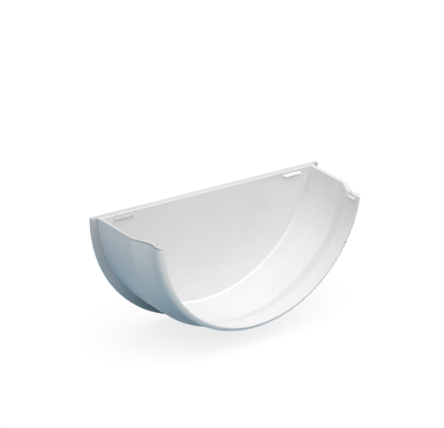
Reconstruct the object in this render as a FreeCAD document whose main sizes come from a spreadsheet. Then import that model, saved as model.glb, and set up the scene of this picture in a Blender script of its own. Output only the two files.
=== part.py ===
"""Gutter end cap: one moulded piece that closes the end of a half-round rainwater gutter.

Frame in millimetres: the gutter's axis runs along Y, +Z is up and the open front looks along -Y.
The origin lies on the gutter's axis, in the plane of the closing plate's inner face.
"""
import FreeCAD, Part
import math
import os

import Sketcher

NODE = "end_cap"
TOLERANCE = 0.001

SIZES = {
    # The gutter that slides in, and the room left round it
    "gutter_diameter": 112.0,
    "socket_clearance": 0.7,
    # The half-round shell: a wide chamber at the plate, a narrower socket at the front, a step between
    "wall": 2.15,
    "chamber_depth": 22.9,
    "step_run": 10.6,
    "step_rise": 4.2,
    "bend_round": 3.2,
    "socket_length": 7.4,
    "top_drop": 5.2,
    "corner_round": 1.2,
    # The lip round the open rim: a slight swelling, rounded off outside down to a narrow front edge
    "lip_width": 4.2,
    "lip_slope": 0.8,
    "lip_rise": 0.4,
    "rim_round_run": 3.1,
    "rim_edge": 0.2,
    # The closing plate: a web inside the shell, backed by a flange that stands out further below
    "web_thickness": 1.15,
    "flange_thickness": 2.1,
    "flange_side_ledge": 3.3,
    "flange_bottom_ledge": 3.9,
    "flange_rise": 0.2,
    "flange_bevel": 0.25,
    # The nibs that hold the gutter's edges down, on the plate and on the socket's wall
    "nib_drop": 1.4,
    "nib_bevel": 0.3,
    "plate_nib_margin": 6.2,
    "plate_nib_length": 10.0,
    "plate_nib_height": 1.2,
    "plate_nib_reach": 1.2,
    "wall_nib_setback": 2.0,
    "wall_nib_length": 5.6,
    "wall_nib_height": 1.0,
    "wall_nib_reach": 0.9,
}

SOCKET_RADIUS = "(Sizes.gutter_diameter / 2 + Sizes.socket_clearance)"
CHAMBER_RADIUS = f"({SOCKET_RADIUS} + Sizes.step_rise)"
SHELL_RADIUS = f"({CHAMBER_RADIUS} + Sizes.wall)"
LIP_RADIUS = f"({SOCKET_RADIUS} + Sizes.wall + Sizes.lip_rise)"
CAP_DEPTH = "(Sizes.chamber_depth + Sizes.step_run + Sizes.socket_length)"

# The flange's arc runs through its two top corners and its lowest point
FLANGE_BACK = "(Sizes.web_thickness + Sizes.flange_thickness)"
FLANGE_TOP = "(Sizes.top_drop - Sizes.flange_rise)"
FLANGE_HALF = f"(sqrt({SHELL_RADIUS} ^ 2 - Sizes.top_drop ^ 2) + Sizes.flange_side_ledge)"
FLANGE_LOW = f"({SHELL_RADIUS} + Sizes.flange_bottom_ledge)"
FLANGE_HEIGHT = f"({FLANGE_LOW} - {FLANGE_TOP})"
FLANGE_RADIUS = f"(({FLANGE_HALF} ^ 2 + {FLANGE_HEIGHT} ^ 2) / (2 * {FLANGE_HEIGHT}))"

NIB_TOP = "(Sizes.top_drop + Sizes.nib_drop)"
NIB_MIDDLE = f"({NIB_TOP} + Sizes.plate_nib_height / 2)"
NIB_END = f"(sqrt({CHAMBER_RADIUS} ^ 2 - {NIB_MIDDLE} ^ 2) - Sizes.plate_nib_margin)"

# The ends and the centre of a sketch's line or arc, and the sketch's own origin
START, END, CENTRE = range(1, 4)
ORIGIN = (-1, 1)

doc = FreeCAD.newDocument("GutterEndCap")


def make_sheet():
    """The driving dimensions, one to a row: the name in words, then the value."""
    sheet = doc.addObject("Spreadsheet::Sheet", "Sizes")
    for row, (alias, number) in enumerate(SIZES.items(), 1):
        sheet.set(f"A{row}", alias.replace("_", " "))
        sheet.set(f"B{row}", str(number))
        sheet.setAlias(f"B{row}", alias)
    doc.recompute()


make_sheet()
body = doc.addObject("PartDesign::Body", "EndCap")
body.Label = NODE


def value(expression):
    return float(body.evalExpression(expression))


def size(alias):
    return value(f"Sizes.{alias}")


def origin_plane(role):
    return next(item for item in body.Origin.OriginFeatures if item.Role == role)


def line(start, end):
    return Part.LineSegment(FreeCAD.Vector(*start, 0), FreeCAD.Vector(*end, 0))


def arc(centre, radius, start_angle, end_angle):
    circle = Part.Circle(FreeCAD.Vector(*centre, 0), FreeCAD.Vector(0, 0, 1), radius)
    return Part.ArcOfCircle(circle, start_angle, end_angle)


def polar(centre, radius, angle):
    return centre[0] + radius * math.cos(angle), centre[1] + radius * math.sin(angle)


def new_sketch(name, role, offset=None):
    """A sketch on one of the body's origin planes, moved along the plane's normal by an expression."""
    sketch = body.newObject("Sketcher::SketchObject", name)
    sketch.AttachmentSupport = [(origin_plane(role), "")]
    sketch.MapMode = "FlatFace"
    if offset:
        sketch.setExpression("AttachmentOffset.Base.z", offset)
    return sketch


def fix(sketch, kind, *where):
    """A constraint that holds the sketch's form, such as a join or a direction."""
    sketch.addConstraint(Sketcher.Constraint(kind, *where))


def drive(sketch, expression, kind, *where):
    """A dimension bound to the sheet."""
    index = sketch.addConstraint(Sketcher.Constraint(kind, *where, value(expression)))
    sketch.setExpression(f"Constraints[{index}]", expression)


def join_chain(sketch, count):
    """Each line meets the next at its end, and the last meets the first."""
    for index in range(count):
        fix(sketch, "Coincident", index, END, (index + 1) % count, START)


def join_step(sketch, chamber, bend_1, slope_top, slope_foot, bend_2, socket):
    """One side of the step's wall: each line runs into the next bend without a corner."""
    fix(sketch, "Tangent", *chamber, bend_1, END)
    fix(sketch, "Tangent", bend_1, START, *slope_top)
    fix(sketch, "Tangent", *slope_foot, bend_2, START)
    fix(sketch, "Tangent", bend_2, END, *socket)


def draw_section():
    """The shell and the web in section, below the axis: across the sketch is Y and up is Z."""
    sketch = new_sketch("ShellSection", "YZ_Plane")
    wall, bend = size("wall"), size("bend_round")
    socket, chamber, lip = value(SOCKET_RADIUS), value(CHAMBER_RADIUS), value(LIP_RADIUS)
    rim, web, run = -value(CAP_DEPTH), size("web_thickness"), size("step_run")
    lip_back = rim + size("lip_width")
    slope_back = lip_back + size("lip_slope")

    # The rim's round starts level with the lip and ends at the narrow front edge
    edge, round_run = socket + size("rim_edge"), size("rim_round_run")
    round_radius = (round_run ** 2 + (lip - edge) ** 2) / (2 * (lip - edge))
    round_centre = (rim + round_run, round_radius - lip)
    round_start = math.pi + math.atan2(round_radius + edge - lip, round_run)

    # The step turns inwards about the first centre and back about the second, by the same angle
    middle = 2 * bend + wall
    offset = middle - size("step_rise")
    slope_length = math.sqrt(run ** 2 + offset ** 2 - middle ** 2)
    turn = math.atan2(middle, slope_length) - math.atan2(offset, run)
    first = (-size("chamber_depth"), bend - chamber)
    second = (first[0] - run, -(socket + wall + bend))
    up, down = math.pi / 2, -math.pi / 2

    (plate, chamber_in, bend_1_in, slope_in, bend_2_in, socket_in, rim_face, rim_round, lip_top,
     lip_slope, socket_out, bend_2_out, slope_out, bend_1_out, chamber_out, web_back, axis) = range(17)
    sketch.addGeometry([
        line((0, 0), (0, -chamber)),
        line((0, -chamber), polar(first, bend, down)),
        arc(first, bend, down - turn, down),
        line(polar(first, bend, down - turn), polar(second, bend + wall, up - turn)),
        arc(second, bend + wall, up - turn, up),
        line(polar(second, bend + wall, up), (rim, -socket)),
        line((rim, -socket), (rim, -edge)),
        arc(round_centre, round_radius, round_start, math.pi - down),
        line((rim + round_run, -lip), (lip_back, -lip)),
        line((lip_back, -lip), (slope_back, -socket - wall)),
        line((slope_back, -socket - wall), polar(second, bend, up)),
        arc(second, bend, up - turn, up),
        line(polar(second, bend, up - turn), polar(first, bend + wall, down - turn)),
        arc(first, bend + wall, down - turn, down),
        line(polar(first, bend + wall, down), (web, -chamber - wall)),
        line((web, -chamber - wall), (web, 0)),
        line((web, 0), (0, 0)),
    ], False)

    fix(sketch, "Coincident", plate, START, *ORIGIN)
    for before, after in ((plate, chamber_in), (socket_in, rim_face), (rim_face, rim_round),
                          (lip_top, lip_slope), (lip_slope, socket_out), (chamber_out, web_back),
                          (web_back, axis), (axis, plate)):
        fix(sketch, "Coincident", before, END, after, START)
    for straight in (chamber_in, socket_in, lip_top, socket_out, chamber_out, axis):
        fix(sketch, "Horizontal", straight)
    for upright in (plate, rim_face, web_back):
        fix(sketch, "Vertical", upright)
    fix(sketch, "Tangent", rim_round, END, lip_top, START)
    join_step(sketch, (chamber_in, END), bend_1_in, (slope_in, START),
              (slope_in, END), bend_2_in, (socket_in, START))
    join_step(sketch, (chamber_out, START), bend_1_out, (slope_out, END),
              (slope_out, START), bend_2_out, (socket_out, END))
    fix(sketch, "Coincident", bend_1_in, CENTRE, bend_1_out, CENTRE)
    fix(sketch, "Coincident", bend_2_in, CENTRE, bend_2_out, CENTRE)

    drive(sketch, CHAMBER_RADIUS, "DistanceY", chamber_in, START, *ORIGIN)
    drive(sketch, SOCKET_RADIUS, "DistanceY", socket_in, END, *ORIGIN)
    drive(sketch, "Sizes.chamber_depth", "DistanceX", bend_1_in, CENTRE, *ORIGIN)
    drive(sketch, "Sizes.step_run", "DistanceX", bend_2_in, CENTRE, bend_1_in, CENTRE)
    drive(sketch, "Sizes.socket_length", "DistanceX", rim_face, START, bend_2_in, CENTRE)
    drive(sketch, "Sizes.rim_edge", "DistanceY", rim_face, END, rim_face, START)
    drive(sketch, "Sizes.rim_round_run", "DistanceX", rim_face, END, lip_top, START)
    drive(sketch, "Sizes.lip_width", "DistanceX", rim_face, START, lip_top, END)
    drive(sketch, "Sizes.lip_slope", "DistanceX", lip_slope, START, lip_slope, END)
    drive(sketch, "Sizes.lip_rise", "DistanceY", lip_slope, START, lip_slope, END)
    drive(sketch, "Sizes.web_thickness", "DistanceX", axis, END, axis, START)
    for tight in (bend_1_in, bend_2_out):
        drive(sketch, "Sizes.bend_round", "Radius", tight)
    for wide in (bend_2_in, bend_1_out):
        drive(sketch, "Sizes.bend_round + Sizes.wall", "Radius", wide)
    return sketch


def turn_shell(section):
    """The section turned half way round the axis, below it."""
    shell = body.newObject("PartDesign::Revolution", "Shell")
    shell.Profile = section
    shell.ReferenceAxis = (section, ["H_Axis"])
    shell.Angle = 180
    shell.Midplane = True
    doc.recompute()
    return shell


def cut_top(shell):
    """The shell and the web end in one level plane, a little below the axis."""
    sketch = new_sketch("TopCut", "YZ_Plane")
    left, right, low = -value(CAP_DEPTH), value(FLANGE_BACK), -size("top_drop")
    sketch.addGeometry([
        line((left, low), (right, low)),
        line((right, low), (right, 0)),
        line((right, 0), (left, 0)),
        line((left, 0), (left, low)),
    ], False)
    bottom, back, top, front = range(4)
    join_chain(sketch, 4)
    for straight in (bottom, top):
        fix(sketch, "Horizontal", straight)
    for upright in (back, front):
        fix(sketch, "Vertical", upright)
    fix(sketch, "PointOnObject", top, START, -1)
    drive(sketch, "Sizes.top_drop", "DistanceY", bottom, START, *ORIGIN)
    drive(sketch, CAP_DEPTH, "DistanceX", front, START, *ORIGIN)
    drive(sketch, FLANGE_BACK, "DistanceX", *ORIGIN, back, START)
    cut = body.newObject("PartDesign::Pocket", "LevelTop")
    cut.Profile = sketch
    cut.Type = "ThroughAll"
    cut.SideType = "Symmetric"
    doc.recompute()
    if cut.Shape.Volume > shell.Shape.Volume - TOLERANCE:
        raise RuntimeError("the cut that levels the top removes nothing")


def pad_flange():
    """The flange: a round plate with a level top, behind the web, further out below than at the sides."""
    sketch = new_sketch("FlangeOutline", "XZ_Plane", "-Sizes.web_thickness")
    radius, half, top = value(FLANGE_RADIUS), value(FLANGE_HALF), -value(FLANGE_TOP)
    centre = (0, radius - value(FLANGE_LOW))
    angle = math.asin((top - centre[1]) / radius)
    sketch.addGeometry([
        arc(centre, radius, math.pi - angle, 2 * math.pi + angle),
        line((half, top), (-half, top)),
    ], False)
    edge, chord = range(2)
    join_chain(sketch, 2)
    fix(sketch, "Horizontal", chord)
    fix(sketch, "PointOnObject", edge, CENTRE, -2)
    drive(sketch, FLANGE_RADIUS, "Radius", edge)
    drive(sketch, FLANGE_HALF, "DistanceX", *ORIGIN, chord, START)
    drive(sketch, FLANGE_TOP, "DistanceY", chord, START, *ORIGIN)
    flange = body.newObject("PartDesign::Pad", "Flange")
    flange.Profile = sketch
    flange.setExpression("Length", "Sizes.flange_thickness")
    flange.Reversed = True
    doc.recompute()


def pad_plate_nib():
    """A short level rib on the plate's inner face, with round ends."""
    sketch = new_sketch("PlateNibOutline", "XZ_Plane")
    radius = size("plate_nib_height") / 2
    level, end = -value(NIB_MIDDLE), value(NIB_END)
    outer, inner = (end - radius, level), (end - size("plate_nib_length") + radius, level)
    up, down = math.pi / 2, -math.pi / 2
    sketch.addGeometry([
        line(polar(inner, radius, down), polar(outer, radius, down)),
        arc(outer, radius, down, up),
        line(polar(outer, radius, up), polar(inner, radius, up)),
        arc(inner, radius, up, up + math.pi),
    ], False)
    bottom, outer_end, top, inner_end = range(4)
    for before, after in ((bottom, outer_end), (outer_end, top), (top, inner_end), (inner_end, bottom)):
        fix(sketch, "Tangent", before, END, after, START)
    fix(sketch, "Horizontal", bottom)
    fix(sketch, "Equal", inner_end, outer_end)
    drive(sketch, NIB_TOP, "DistanceY", top, START, *ORIGIN)
    drive(sketch, "Sizes.plate_nib_height / 2", "Radius", outer_end)
    drive(sketch, f"{NIB_END} - Sizes.plate_nib_height / 2", "DistanceX", *ORIGIN, outer_end, CENTRE)
    drive(sketch, "Sizes.plate_nib_length - Sizes.plate_nib_height", "DistanceX",
          inner_end, CENTRE, outer_end, CENTRE)
    nib = body.newObject("PartDesign::Pad", "PlateNib")
    nib.Profile = sketch
    nib.setExpression("Length", "Sizes.plate_nib_reach")
    doc.recompute()
    return nib


def pad_wall_nib():
    """A short rib along the socket's wall, behind the rim, with round ends and its root in the wall."""
    sketch = new_sketch("WallNibOutline", "XY_Plane", f"-{NIB_TOP}")
    face = f"sqrt({SOCKET_RADIUS} ^ 2 - {NIB_TOP} ^ 2)"
    tip = f"{face} - Sizes.wall_nib_reach"
    root = f"{face} + Sizes.wall / 2"
    front = f"{CAP_DEPTH} - Sizes.wall_nib_setback"
    back = f"{front} - Sizes.wall_nib_length"
    radius = size("wall_nib_reach")
    x_tip, x_root, y_front, y_back = value(tip), value(root), -value(front), -value(back)
    front_end, back_end = (x_tip + radius, y_front + radius), (x_tip + radius, y_back - radius)
    left, up, down = math.pi, math.pi / 2, -math.pi / 2
    sketch.addGeometry([
        line((x_root, y_front), (x_root, y_back)),
        line((x_root, y_back), polar(back_end, radius, up)),
        arc(back_end, radius, up, left),
        line(polar(back_end, radius, left), polar(front_end, radius, left)),
        arc(front_end, radius, left, left + up),
        line(polar(front_end, radius, down), (x_root, y_front)),
    ], False)
    root_side, back_side, back_round, tip_side, front_round, front_side = range(6)
    for before, after in ((back_side, back_round), (back_round, tip_side), (tip_side, front_round),
                          (front_round, front_side)):
        fix(sketch, "Tangent", before, END, after, START)
    for before, after in ((front_side, root_side), (root_side, back_side)):
        fix(sketch, "Coincident", before, END, after, START)
    fix(sketch, "Vertical", root_side)
    fix(sketch, "Vertical", tip_side)
    fix(sketch, "Horizontal", back_side)
    fix(sketch, "Horizontal", front_side)
    fix(sketch, "Equal", front_round, back_round)
    drive(sketch, "Sizes.wall_nib_reach", "Radius", back_round)
    drive(sketch, tip, "DistanceX", *ORIGIN, tip_side, START)
    drive(sketch, root, "DistanceX", *ORIGIN, root_side, START)
    drive(sketch, front, "DistanceY", root_side, START, *ORIGIN)
    drive(sketch, back, "DistanceY", root_side, END, *ORIGIN)
    nib = body.newObject("PartDesign::Pad", "WallNib")
    nib.Profile = sketch
    nib.setExpression("Length", "Sizes.wall_nib_height")
    nib.Reversed = True
    doc.recompute()
    return nib


def mirror(nibs):
    """The same nibs on the other side."""
    mirrored = body.newObject("PartDesign::Mirrored", "OtherSide")
    mirrored.Originals = nibs
    mirrored.MirrorPlane = (origin_plane("YZ_Plane"), [""])
    body.Tip = mirrored
    doc.recompute()


def near(a, b):
    return abs(a - b) < TOLERANCE


def is_hoop(edge, depth, radius, height=0.0):
    """An edge that is part of a circle round the axis, or round a line at another height."""
    curve = edge.Curve
    return (isinstance(curve, Part.Circle) and near(curve.Radius, radius)
            and near(curve.Center.y, depth) and near(curve.Center.z, height))


def is_across(edge, depth):
    """An edge that lies in one plane across the gutter's axis."""
    return near(edge.BoundBox.YMin, depth) and near(edge.BoundBox.YMax, depth)


def edge_names(feature, chosen):
    names = [f"Edge{index}" for index, edge in enumerate(feature.Shape.Edges, 1) if chosen(edge)]
    if not names:
        raise RuntimeError(f"{feature.Name} has no such edge")
    return names


def fillet_corner():
    """The rounded corner where the plate meets the shell, inside."""
    base = body.Tip
    fillet = body.newObject("PartDesign::Fillet", "PlateCorner")
    fillet.Base = (base, edge_names(base, lambda edge: is_hoop(edge, 0, value(CHAMBER_RADIUS))))
    fillet.setExpression("Radius", "Sizes.corner_round")
    doc.recompute()


def break_edges(name, alias, chosen):
    """A small bevel on the edges that a test picks."""
    base = body.Tip
    bevel = body.newObject("PartDesign::Chamfer", name)
    bevel.Base = (base, edge_names(base, chosen))
    bevel.setExpression("Size", f"Sizes.{alias}")
    doc.recompute()


def soften():
    """The inside corner is rounded, the edges of the flange and of the plate's nibs are broken."""
    web, back, flange = size("web_thickness"), value(FLANGE_BACK), value(FLANGE_RADIUS)
    centre = flange - value(FLANGE_LOW)
    fillet_corner()
    break_edges("FlangeRim", "flange_bevel",
                lambda edge: is_hoop(edge, web, flange, centre) or is_hoop(edge, back, flange, centre))
    break_edges("PlateNibRim", "nib_bevel", lambda edge: is_across(edge, -size("plate_nib_reach")))


def check_and_write():
    """Nothing is written unless every object is sound."""
    for item in doc.Objects:
        if {"Invalid", "Error"} & set(item.State):
            raise RuntimeError(f"{item.Name} failed: {item.State}")
    shape = body.Shape
    if shape.isNull() or not shape.isValid() or len(shape.Solids) != 1:
        raise RuntimeError("the end cap isn't one sound solid")
    os.makedirs("parts", exist_ok=True)
    shape.exportStep(f"parts/{body.Label}.step")


cut_top(turn_shell(draw_section()))
pad_flange()
mirror([pad_plate_nib(), pad_wall_nib()])
soften()
check_and_write()
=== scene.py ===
import math

import bpy
from mathutils import Matrix, Vector


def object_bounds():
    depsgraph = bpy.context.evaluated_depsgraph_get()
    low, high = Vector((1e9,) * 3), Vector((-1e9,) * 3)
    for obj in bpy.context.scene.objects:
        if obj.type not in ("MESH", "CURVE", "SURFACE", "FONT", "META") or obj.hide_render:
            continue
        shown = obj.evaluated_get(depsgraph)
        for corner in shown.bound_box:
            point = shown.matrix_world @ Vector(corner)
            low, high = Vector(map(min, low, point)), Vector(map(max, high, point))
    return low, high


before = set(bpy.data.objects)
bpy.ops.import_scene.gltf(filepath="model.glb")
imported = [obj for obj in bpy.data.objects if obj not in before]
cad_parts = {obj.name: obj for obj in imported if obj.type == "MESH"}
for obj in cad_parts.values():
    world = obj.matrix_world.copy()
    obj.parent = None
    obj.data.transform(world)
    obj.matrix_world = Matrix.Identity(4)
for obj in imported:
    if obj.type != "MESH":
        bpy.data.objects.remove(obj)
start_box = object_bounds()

scene = bpy.context.scene
scene.view_settings.view_transform = "Standard"

# The photograph's width in pixels, and the camera that was fitted to it, in degrees and metres.
IMAGE_WIDTH = 444
SENSOR = 36.0
FOCAL_PIXELS = 3600.0
AZIMUTH, ELEVATION, ROLL = 39.0433, 23.7307, 3.5635
AIM = Vector((0, 0, -0.0052))
SIDE, LIFT, DISTANCE = 0.005993, -0.010452, 1.666785
CLIP_START, CLIP_END = 0.01, 20.0

# The pale floor lies just under the flange. The camera sees it as lit grey with a white glow added.
FLOOR_LEVEL = start_box[0].z - 0.0002
FLOOR_SIZE = 12.0
FLOOR_GREY = (0.24, 0.24, 0.24, 1)
FLOOR_GLOW = 0.78

# The light that the floor throws back: dim and bluish below the cap, brighter ahead of it and behind it.
# The changes from one to the next lie at these distances along y.
BOUNCE_BELOW = (0.02, 0.23, 0.37, 1)
BOUNCE_AHEAD = (0.25, 0.39, 0.45, 1)
BOUNCE_BEHIND = (0.40, 0.42, 0.42, 1)
AHEAD_FROM, AHEAD_TO = -0.038, -0.052
BEHIND_FROM, BEHIND_TO = 0.06, 0.14

# Broad patches of soft light: the direction in which each lies, its strength and its colour.
PATCH_SHARPNESS = 7.0
LIGHT_PATCHES = (
    ((0, 0, 1), 1.05, (0.80, 0.94, 1)),
    ((0, -0.64, 0.77), 1.10, (0.97, 1, 1)),
    ((0.45, -0.45, 0.77), 0.66, (0.92, 0.96, 1)),
    ((-0.64, 0, 0.77), 0.88, (1, 0.76, 0.70)),
    ((-0.45, -0.45, 0.77), 0.86, (1, 1, 1)),
    ((0, -0.97, 0.24), 0.22, (1, 0.65, 0.55)),
    ((0.69, -0.69, 0.24), 0.27, (1, 0.40, 0.40)),
    ((0.97, 0, 0.24), 0.27, (1, 1, 1)),
    ((0.69, 0.69, 0.24), 0.27, (1, 1, 1)),
    ((0, 0.97, 0.24), 0.27, (1, 1, 1)),
    ((-0.69, 0.69, 0.24), 0.27, (1, 1, 1)),
    ((-0.97, 0, 0.24), 0.05, (1, 0.6, 0.5)),
    ((-0.69, -0.69, 0.24), 0.34, (0.88, 0.75, 0.66)),
)

# Weak lamps behind the cap and to its right, which face its middle: place and power.
CAP_MIDDLE = Vector((0, -0.02, -0.035))
FILL_SIZE = 0.8
FILL_COLOUR = (1, 0.88, 0.80)
FILL_LAMPS = {
    "back_fill": ((0.1, 1.3, 0.06), 9.0),
    "right_fill": ((1.3, 0.1, 0.06), 7.0),
}

# Sizes of the part that the dirt, painted shade and painted light follow, in millimetres: levels from the
# gutter's axis, distances along y from the plate's inner face, and radii.
MM_PER_METRE = 1000.0
LEVEL_TOP = -5.2
NIB_TOP, NIB_FOOT = -6.6, -7.8
PLATE_NIB_REACH = 1.2
PLATE_FACE, FLANGE_FACE = 0.0, 1.15
RIM_FACE = -40.9
LIP_BACK = -36.7
CHAMBER_RADIUS, SOCKET_RADIUS, SOCKET_OUTSIDE = 60.9, 56.7, 58.85

# Dark specks and faint smears, some of them painted shade: centre and reach in millimetres, and depth.
SPECKS_AND_SHADE = (
    ((-57.1, -36.4, -5.2), 0.5, 0.8),
    ((50.3, -40.9, -26.5), 0.5, 0.8),
    ((48.5, -29.1, -32.2), 0.6, 0.2),
    ((57.2, -4.4, -20.9), 0.6, 0.12),
    ((-46.4, 0, -13.0), 0.6, 0.15),
    ((-53.7, 0, -5.4), 0.5, 0.3),
    ((-42.4, 0, -5.5), 0.5, 0.3),
    ((-58.0, 0, -6.6), 0.6, 0.15),
    # The next six mark the nibs' ends and the right wall's top edge: partly dirt, partly painted shade at
    # the nibs' ends and in the notches of the top edge.
    ((55.5, -33.9, -7.5), 0.6, 0.5),
    ((58.2, -31.9, -5.2), 0.5, 0.45),
    ((56.4, -34.9, -5.8), 0.5, 0.45),
    ((44.2, -0.6, -7.8), 0.7, 0.8),
    ((57.5, -34.0, -5.2), 0.6, 0.65),
    ((58.4, -37.9, -5.2), 0.5, 0.6),
    # The next two are painted shade: soft smears under the right wall's top edge.
    ((59.8, -8.0, -11.5), 4.0, 0.035),
    ((59.9, -13.5, -11.2), 4.0, 0.035),
    ((55.3, -36.0, -13.0), 8.0, 0.05),
    ((27.2, 0, -29.9), 9.0, 0.03),
    ((29.6, 0, -18.7), 8.0, 0.03),
)
# A speck is full within the first share of its reach and gone at the second.
SPECK_CORE, SPECK_FADE = 0.4, 1.2


def srgb(*levels):
    """A colour in display levels of 0 to 255, as the linear values that sockets take."""
    def linear(level):
        share = level / 255
        return share / 12.92 if share <= 0.04045 else ((share + 0.055) / 1.055) ** 2.4
    return (*[linear(level) for level in levels], 1.0)


# The plastic: the two whites of its grain, brighter whites that are painted light on the rim and painted
# highlights on the plate's lower corner, its top and the right nibs, a dark colour for dirt and painted
# shade, and a teal for painted shade lit by bluish bounced light in the lower groove.
# The shading rounds its edges by EDGE_ROUND, in metres.
GRAIN_DARK, GRAIN_LIGHT = srgb(234, 235, 235), srgb(241, 241, 241)
RIM_LIGHT_WHITE = srgb(253, 250, 247)
CORNER_HIGHLIGHT_WHITE = srgb(249, 249, 249)
HIGHLIGHT_WHITE = srgb(252, 252, 252)
DIRT_AND_SHADE = srgb(30, 62, 78)
GROOVE_BOUNCE_TINT = srgb(38, 134, 153)
PVC_IOR = 1.53
SPECULAR_LEVEL = 0.1
EDGE_ROUND = 0.0003


class Nodes:
    """Short calls for a node tree: add a node with its settings, join sockets."""

    def __init__(self, owner):
        owner.use_nodes = True
        self.tree = owner.node_tree
        self.tree.nodes.clear()

    def add(self, kind, settings=None, **inputs):
        """A node; an underscore in an input's name stands for a space."""
        node = self.tree.nodes.new(kind)
        for name, value in (settings or {}).items():
            setattr(node, name, value)
        for name, value in inputs.items():
            self.set(node.inputs[name.replace("_", " ")], value)
        return node

    def set(self, socket, value):
        """Join a socket to another, or give it a constant."""
        if isinstance(value, bpy.types.NodeSocket):
            self.tree.links.new(value, socket)
        else:
            socket.default_value = value

    def math(self, operation, a, b=0.0):
        """The result of a Math node. Some operations leave its second value unused."""
        node = self.tree.nodes.new("ShaderNodeMath")
        node.operation = operation
        self.set(node.inputs[0], a)
        self.set(node.inputs[1], b)
        return node.outputs[0]

    def product(self, first, *others):
        """All the values multiplied."""
        for other in others:
            first = self.math("MULTIPLY", first, other)
        return first

    def largest(self, first, *others):
        """The largest of the values."""
        for other in others:
            first = self.math("MAXIMUM", first, other)
        return first

    def outside(self, mask):
        """1 where a mask is 0."""
        return self.math("SUBTRACT", 1.0, mask)

    def span(self, value, low, high, to_low, to_high):
        """A value between two levels, spread over two others and held at the ends."""
        node = self.add("ShaderNodeMapRange", {"interpolation_type": "SMOOTHSTEP"}, Value=value)
        for socket, level in zip(node.inputs[1:5], (low, high, to_low, to_high)):
            self.set(socket, level)
        return node.outputs["Result"]

    def rise(self, value, low, high):
        """0 at the first level, 1 at the second, which may lie below it."""
        return self.span(value, low, high, 0.0, 1.0)

    def band(self, value, low, high, soft):
        """1 between two levels, fading to 0 outside them."""
        return self.product(self.rise(value, low - soft, low), self.rise(value, high + soft, high))

    def length(self, a, b):
        """The length of two parts at right angles."""
        return self.math("SQRT", self.math("ADD", self.product(a, a), self.product(b, b)))

    def blend(self, factor, a, b):
        """A colour between two."""
        node = self.add("ShaderNodeMix", {"data_type": "RGBA"})
        for socket, value in zip((node.inputs[0], node.inputs[6], node.inputs[7]), (factor, a, b)):
            self.set(socket, value)
        return node.outputs[2]

    def mix(self, factor, a, b):
        """A shader between two."""
        node = self.tree.nodes.new("ShaderNodeMixShader")
        for socket, value in zip(node.inputs, (factor, a, b)):
            self.set(socket, value)
        return node.outputs[0]

    def sum(self, a, b):
        """Two shaders added."""
        node = self.tree.nodes.new("ShaderNodeAddShader")
        self.set(node.inputs[0], a)
        self.set(node.inputs[1], b)
        return node.outputs[0]

    def between(self, operation, place, point):
        """A number that a vector operation gives for a place and a fixed point."""
        node = self.add("ShaderNodeVectorMath", {"operation": operation})
        self.set(node.inputs[0], place)
        self.set(node.inputs[1], point)
        return node.outputs["Value"]

    def seen(self):
        """1 for what the camera sees, directly or in a reflection."""
        path = self.add("ShaderNodeLightPath").outputs
        return self.largest(path["Is Camera Ray"], path["Is Glossy Ray"], path["Is Transmission Ray"])

    def noise(self, place, scale, detail, roughness):
        """A random pattern of values round 0.5."""
        node = self.add("ShaderNodeTexNoise", Vector=place, Scale=scale, Detail=detail, Roughness=roughness)
        return node.outputs["Fac"]


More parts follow.
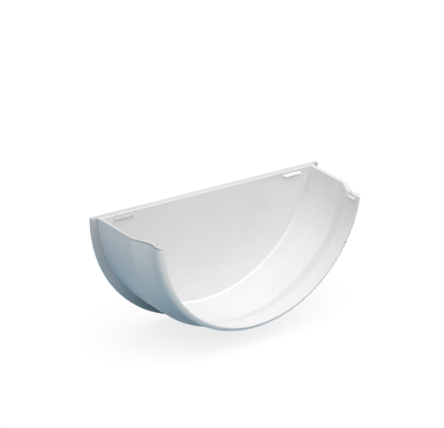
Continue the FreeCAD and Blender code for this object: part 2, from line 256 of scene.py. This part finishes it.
def moulded_white():
    """White rigid PVC: a satin skin with a fine grain, painted light and highlights, films of dirt and
    painted shade, and specks.

    Places are in millimetres. A layer of dirt or painted shade is a mask times its depth, the share of the
    dark colour in the colour, and most depths change along the part from one place to another.
    """
    material = bpy.data.materials.new("white_plastic")
    nodes = Nodes(material)
    texture = nodes.add("ShaderNodeTexCoord").outputs
    place = texture["Object"]
    scaled = nodes.add("ShaderNodeVectorMath", {"operation": "SCALE"}, Vector=place, Scale=MM_PER_METRE)
    spot = scaled.outputs[0]
    x, y, z = nodes.add("ShaderNodeSeparateXYZ", Vector=spot).outputs
    radius = nodes.length(x, z)
    aside = nodes.math("ABSOLUTE", x)
    facing_x, _, facing_z = nodes.add("ShaderNodeSeparateXYZ", Vector=texture["Normal"]).outputs

    broad = nodes.noise(place, 60.0, 4.0, 0.6)
    fine = nodes.noise(place, 900.0, 3.0, 0.6)
    grain = nodes.math("ADD", nodes.span(broad, 0.35, 0.65, 0.0, 0.3),
                       nodes.span(fine, 0.35, 0.65, 0.0, 0.7))
    colour = nodes.blend(grain, GRAIN_DARK, GRAIN_LIGHT)

    # Where the part's features lie
    top = nodes.rise(z, LEVEL_TOP - 0.15, LEVEL_TOP - 0.05)
    plate = nodes.band(y, PLATE_FACE - 0.05, PLATE_FACE + 0.05, 0.02)
    plate_top = nodes.product(top, nodes.band(y, PLATE_FACE, FLANGE_FACE - 0.2, 0.1))
    corner = nodes.rise(nodes.length(nodes.math("SUBTRACT", radius, CHAMBER_RADIUS),
                                     nodes.math("SUBTRACT", y, PLATE_FACE)), 1.1, 0.5)
    groove = nodes.product(nodes.band(y, FLANGE_FACE - 0.25, FLANGE_FACE + 0.15, 0.1), nodes.outside(top))
    rim = nodes.product(nodes.rise(y, RIM_FACE + 2.5, RIM_FACE + 0.9),
                        nodes.rise(radius, SOCKET_RADIUS + 0.05, SOCKET_RADIUS + 0.3))
    nib_level = nodes.band(z, NIB_FOOT - 0.1, NIB_TOP + 0.1, 0.05)
    plate_nib = nodes.product(nib_level, nodes.rise(aside, 57.0, 56.0),
                              nodes.band(y, PLATE_FACE - PLATE_NIB_REACH - 0.2, PLATE_FACE - 0.1, 0.05))
    wall_nib = nodes.product(nib_level, nodes.band(y, RIM_FACE + 1.9, RIM_FACE + 7.7, 0.1),
                             nodes.rise(radius, SOCKET_RADIUS - 0.05, SOCKET_RADIUS - 0.15))

    # Painted light, not wear: the rim lightened where it faces the front, and painted highlights on the
    # plate's lower corner, the plate's own top and the nibs on the right
    right_nibs = nodes.product(nodes.largest(plate_nib, wall_nib), nodes.rise(x, 0.0, 40.0))
    colour = nodes.blend(rim, colour, RIM_LIGHT_WHITE)
    colour = nodes.blend(nodes.product(corner, nodes.rise(z, -18.0, -40.0)), colour, CORNER_HIGHLIGHT_WHITE)
    colour = nodes.blend(nodes.largest(nodes.product(plate_top, 0.5), right_nibs), colour, HIGHLIGHT_WHITE)

    # Painted shade on open faces: the wall and flange tops, the flange's edge, the plate's ends and left
    # side, faces turned down, and the inside of the right wall
    wall_tops_shade = nodes.product(top, nodes.rise(y, PLATE_FACE, PLATE_FACE - 0.1),
                              nodes.span(x, -60.0, -45.0, 0.25, 0.06))
    flange_top_shade = nodes.product(top, nodes.rise(y, FLANGE_FACE - 0.1, FLANGE_FACE + 0.1),
                               nodes.span(x, -62.0, -25.0, 0.24, 0.14))
    flange_edge_shade = nodes.product(nodes.band(y, FLANGE_FACE + 0.25, FLANGE_FACE + 1.85, 0.1),
                                nodes.outside(top), 0.1)
    plate_ends_shade = nodes.product(plate, nodes.rise(z, -9.0, -6.5), nodes.span(aside, 25.0, 50.0, 0.0, 0.09))
    plate_left_shade = nodes.product(plate, nodes.span(x, -45.0, -15.0, 0.06, 0.0))
    underside_shade = nodes.product(nodes.rise(y, RIM_FACE + 2.3, RIM_FACE + 3.3),
                              nodes.span(facing_z, -0.5, -0.8, 0.0, 0.26))
    right_wall_shade = nodes.product(nodes.rise(x, 30.0, 50.0), nodes.rise(z, -35.0, -15.0),
                               nodes.span(facing_x, -0.5, -0.8, 0.0, 0.08))

    # A dark seam line along the top; painted shade in the groove, along the left wall's top edge, behind
    # the lip and in the plate's upper corner; dirt and painted shade on the plate's nibs, most on the left
    seam = nodes.product(top, nodes.band(y, FLANGE_FACE - 0.15, FLANGE_FACE + 0.1, 0.1), 0.16)
    groove_shade = nodes.product(groove, nodes.span(z, -40.0, -25.0, 0.2, 0.32))
    left_edge_shade = nodes.product(nodes.rise(facing_x, -0.5, -0.8), nodes.rise(x, -40.0, -50.0),
                              nodes.band(z, LEVEL_TOP - 0.8, LEVEL_TOP - 0.1, 0.15),
                              nodes.span(y, -34.0, -16.0, 0.36, 0.07))
    nib_dirt_and_shade = nodes.product(plate_nib, nodes.span(x, -40.0, 40.0, 0.28, 0.0))
    lip_back_shade = nodes.product(nodes.band(y, LIP_BACK - 1.7, LIP_BACK + 3.1, 0.6),
                             nodes.rise(radius, SOCKET_OUTSIDE - 0.85, SOCKET_OUTSIDE - 0.45),
                             nodes.span(z, -45.0, -28.0, 0.26, 0.0))
    upper_corner_shade = nodes.product(corner, nodes.span(z, -30.0, -12.0, 0.0, 0.16))

    layers = [wall_tops_shade, flange_top_shade, flange_edge_shade, plate_ends_shade, plate_left_shade, underside_shade, right_wall_shade,
              seam, groove_shade, left_edge_shade, nib_dirt_and_shade, lip_back_shade, upper_corner_shade]
    for centre, reach, depth in SPECKS_AND_SHADE:
        away = nodes.between("DISTANCE", spot, centre)
        layers.append(nodes.span(away, SPECK_CORE * reach, SPECK_FADE * reach, depth, 0.0))
    colour = nodes.blend(nodes.largest(*layers), colour, DIRT_AND_SHADE)
    # Painted shade in the lower groove, tinted teal like the bluish light bounced into it.
    groove_bounce_shade = nodes.product(groove, nodes.span(z, -60.0, -42.0, 0.36, 0.0))
    colour = nodes.blend(groove_bounce_shade, colour, GROOVE_BOUNCE_TINT)

    roughness = nodes.math("ADD", nodes.span(broad, 0.3, 0.7, 0.36, 0.46),
                           nodes.span(fine, 0.3, 0.7, -0.03, 0.03))
    bump = nodes.add("ShaderNodeBump", Strength=0.06, Distance=0.0002, Height=fine)
    edge = nodes.add("ShaderNodeBevel", {"samples": 6}, Radius=EDGE_ROUND, Normal=bump.outputs["Normal"])
    skin = nodes.add("ShaderNodeBsdfPrincipled", Base_Color=colour, Roughness=roughness, IOR=PVC_IOR,
                     Specular_IOR_Level=SPECULAR_LEVEL, Normal=edge.outputs["Normal"])
    nodes.add("ShaderNodeOutputMaterial", Surface=skin.outputs[0])
    return material


def add_floor():
    """Pale where it is seen, with the shadow, and dimmer where it only throws light back."""
    material = bpy.data.materials.new("pale_floor")
    nodes = Nodes(material)
    lit = nodes.add("ShaderNodeBsdfDiffuse", Color=FLOOR_GREY).outputs[0]
    glow = nodes.add("ShaderNodeEmission", Color=(1, 1, 1, 1), Strength=FLOOR_GLOW).outputs[0]
    place = nodes.add("ShaderNodeTexCoord").outputs["Object"]
    along = nodes.add("ShaderNodeSeparateXYZ", Vector=place).outputs[1]
    bounce = nodes.blend(nodes.rise(along, AHEAD_FROM, AHEAD_TO), BOUNCE_BELOW, BOUNCE_AHEAD)
    bounce = nodes.blend(nodes.rise(along, BEHIND_FROM, BEHIND_TO), bounce, BOUNCE_BEHIND)
    dim = nodes.add("ShaderNodeBsdfDiffuse", Color=bounce).outputs[0]
    nodes.add("ShaderNodeOutputMaterial", Surface=nodes.mix(nodes.seen(), dim, nodes.sum(lit, glow)))

    half = FLOOR_SIZE / 2
    corners = ((-half, -half), (half, -half), (half, half), (-half, half))
    mesh = bpy.data.meshes.new("floor")
    mesh.from_pydata([(x, y, FLOOR_LEVEL) for x, y in corners], [], [(0, 1, 2, 3)])
    mesh.materials.append(material)
    floor = bpy.data.objects.new("floor", mesh)
    scene.collection.objects.link(floor)


def add_sky():
    """Patches of soft light, most of it from above and in front, and white where the sky is seen."""
    world = bpy.data.worlds.new("dome")
    scene.world = world
    nodes = Nodes(world)
    way = nodes.add("ShaderNodeTexCoord").outputs["Generated"]
    dome = nodes.add("ShaderNodeBackground", Color=(0, 0, 0, 1), Strength=0.0).outputs[0]
    for direction, strength, colour in LIGHT_PATCHES:
        near = nodes.between("DOT_PRODUCT", way, direction)
        fall = nodes.product(nodes.math("SUBTRACT", near, 1.0), PATCH_SHARPNESS)
        level = nodes.product(nodes.math("EXPONENT", fall), strength)
        patch = nodes.add("ShaderNodeBackground", Color=(*colour, 1), Strength=level).outputs[0]
        dome = nodes.sum(dome, patch)
    white = nodes.add("ShaderNodeBackground", Color=(1, 1, 1, 1), Strength=1.0).outputs[0]
    nodes.add("ShaderNodeOutputWorld", Surface=nodes.mix(nodes.seen(), dome, white))


def add_fill(name, place, power):
    """A round soft lamp that faces the middle of the cap."""
    lamp = bpy.data.lights.new(name, "AREA")
    lamp.shape, lamp.size, lamp.energy, lamp.color = "DISK", FILL_SIZE, power, FILL_COLOUR
    box = bpy.data.objects.new(name, lamp)
    box.location = place
    box.rotation_mode = "QUATERNION"
    box.rotation_quaternion = (CAP_MIDDLE - Vector(place)).to_track_quat("-Z", "Y")
    scene.collection.objects.link(box)


def add_camera():
    """The photograph's camera: turned, raised and rolled about the aim, then shifted sideways and up."""
    a, e, r = (math.radians(angle) for angle in (AZIMUTH, ELEVATION, ROLL))
    back = Vector((-math.sin(a) * math.cos(e), -math.cos(a) * math.cos(e), math.sin(e)))
    right = (-back).cross(Vector((0, 0, 1))).normalized()
    up = right.cross(-back)
    right, up = math.cos(r) * right + math.sin(r) * up, -math.sin(r) * right + math.cos(r) * up
    camera = bpy.data.objects.new("photo_camera", bpy.data.cameras.new("photo_camera"))
    camera.matrix_world = (Matrix.Translation(AIM + SIDE * right + LIFT * up + DISTANCE * back)
                           @ Matrix((right, up, back)).transposed().to_4x4())
    camera.data.sensor_width = SENSOR
    camera.data.lens = FOCAL_PIXELS * SENSOR / IMAGE_WIDTH
    camera.data.clip_start, camera.data.clip_end = CLIP_START, CLIP_END
    scene.collection.objects.link(camera)
    scene.camera = camera


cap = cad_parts["end_cap"]
cap.material_slots[0].material = moulded_white()
add_floor()
add_sky()
for name, (place, power) in FILL_LAMPS.items():
    add_fill(name, place, power)
add_camera()
